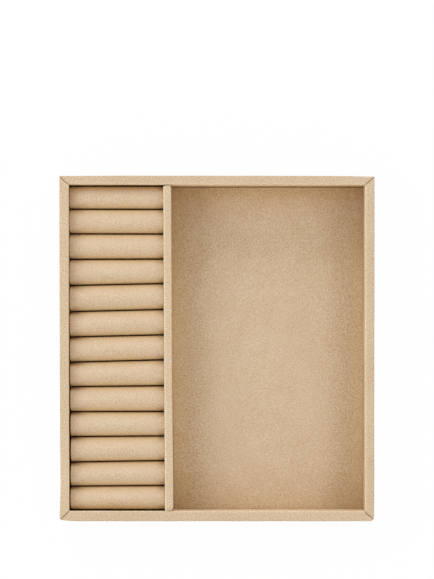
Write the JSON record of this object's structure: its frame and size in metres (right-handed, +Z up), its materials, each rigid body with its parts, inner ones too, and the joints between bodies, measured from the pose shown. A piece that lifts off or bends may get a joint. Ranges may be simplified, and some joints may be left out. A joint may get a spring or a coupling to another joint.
{
  "type": "jewelry tray",
  "caption": "Rectangular suede-covered jewelry tray with padded ring rolls along one side, a divider and one open lined compartment.",
  "frame": {"origin": "middle of the underside, on the surface that the tray stands on", "axes": "+Z up, +X to the right (the ring rolls are on the left), +Y to the back"},
  "size_m": [0.228, 0.25, 0.042],
  "materials": {
    "suede": "matte",
    "board": "matte",
    "card": "matte",
    "foam": "matte"
  },
  "bodies": {
    "tray": {"base_board": "board", "divider_board": "board", "front_wall_board": "board", "back_wall_board": "board", "left_wall_board": "board", "right_wall_board": "board", "underside_cover": "suede", "divider_cover": "suede", "front_wall_cover": "suede", "back_wall_cover": "suede", "left_wall_cover": "suede", "right_wall_cover": "suede", "compartment_floor_cover": "suede", "ring_bay_floor_cover": "suede", "compartment_floor_card": "card", "ring_bay_floor_card": "card"},
    "ring_roll_01": {"ring_roll_01_sleeve": "suede", "ring_roll_01_foam": "foam"},
    "ring_roll_02": {"ring_roll_02_sleeve": "suede", "ring_roll_02_foam": "foam"},
    "ring_roll_03": {"ring_roll_03_sleeve": "suede", "ring_roll_03_foam": "foam"},
    "ring_roll_04": {"ring_roll_04_sleeve": "suede", "ring_roll_04_foam": "foam"},
    "ring_roll_05": {"ring_roll_05_sleeve": "suede", "ring_roll_05_foam": "foam"},
    "ring_roll_06": {"ring_roll_06_sleeve": "suede", "ring_roll_06_foam": "foam"},
    "ring_roll_07": {"ring_roll_07_sleeve": "suede", "ring_roll_07_foam": "foam"},
    "ring_roll_08": {"ring_roll_08_sleeve": "suede", "ring_roll_08_foam": "foam"},
    "ring_roll_09": {"ring_roll_09_sleeve": "suede", "ring_roll_09_foam": "foam"},
    "ring_roll_10": {"ring_roll_10_sleeve": "suede", "ring_roll_10_foam": "foam"},
    "ring_roll_11": {"ring_roll_11_sleeve": "suede", "ring_roll_11_foam": "foam"},
    "ring_roll_12": {"ring_roll_12_sleeve": "suede", "ring_roll_12_foam": "foam"},
    "ring_roll_13": {"ring_roll_13_sleeve": "suede", "ring_roll_13_foam": "foam"}
  },
  "joints": [
    {"name": "ring_roll_01_lift", "type": "slide", "parent": "tray", "child": "ring_roll_01", "axis": [0, 0, 1], "range_m": [0, 0.04]},
    {"name": "ring_roll_02_lift", "type": "slide", "parent": "tray", "child": "ring_roll_02", "axis": [0, 0, 1], "range_m": [0, 0.04]},
    {"name": "ring_roll_03_lift", "type": "slide", "parent": "tray", "child": "ring_roll_03", "axis": [0, 0, 1], "range_m": [0, 0.04]},
    {"name": "ring_roll_04_lift", "type": "slide", "parent": "tray", "child": "ring_roll_04", "axis": [0, 0, 1], "range_m": [0, 0.04]},
    {"name": "ring_roll_05_lift", "type": "slide", "parent": "tray", "child": "ring_roll_05", "axis": [0, 0, 1], "range_m": [0, 0.04]},
    {"name": "ring_roll_06_lift", "type": "slide", "parent": "tray", "child": "ring_roll_06", "axis": [0, 0, 1], "range_m": [0, 0.04]},
    {"name": "ring_roll_07_lift", "type": "slide", "parent": "tray", "child": "ring_roll_07", "axis": [0, 0, 1], "range_m": [0, 0.04]},
    {"name": "ring_roll_08_lift", "type": "slide", "parent": "tray", "child": "ring_roll_08", "axis": [0, 0, 1], "range_m": [0, 0.04]},
    {"name": "ring_roll_09_lift", "type": "slide", "parent": "tray", "child": "ring_roll_09", "axis": [0, 0, 1], "range_m": [0, 0.04]},
    {"name": "ring_roll_10_lift", "type": "slide", "parent": "tray", "child": "ring_roll_10", "axis": [0, 0, 1], "range_m": [0, 0.04]},
    {"name": "ring_roll_11_lift", "type": "slide", "parent": "tray", "child": "ring_roll_11", "axis": [0, 0, 1], "range_m": [0, 0.04]},
    {"name": "ring_roll_12_lift", "type": "slide", "parent": "tray", "child": "ring_roll_12", "axis": [0, 0, 1], "range_m": [0, 0.04]},
    {"name": "ring_roll_13_lift", "type": "slide", "parent": "tray", "child": "ring_roll_13", "axis": [0, 0, 1], "range_m": [0, 0.04]}
  ]
}
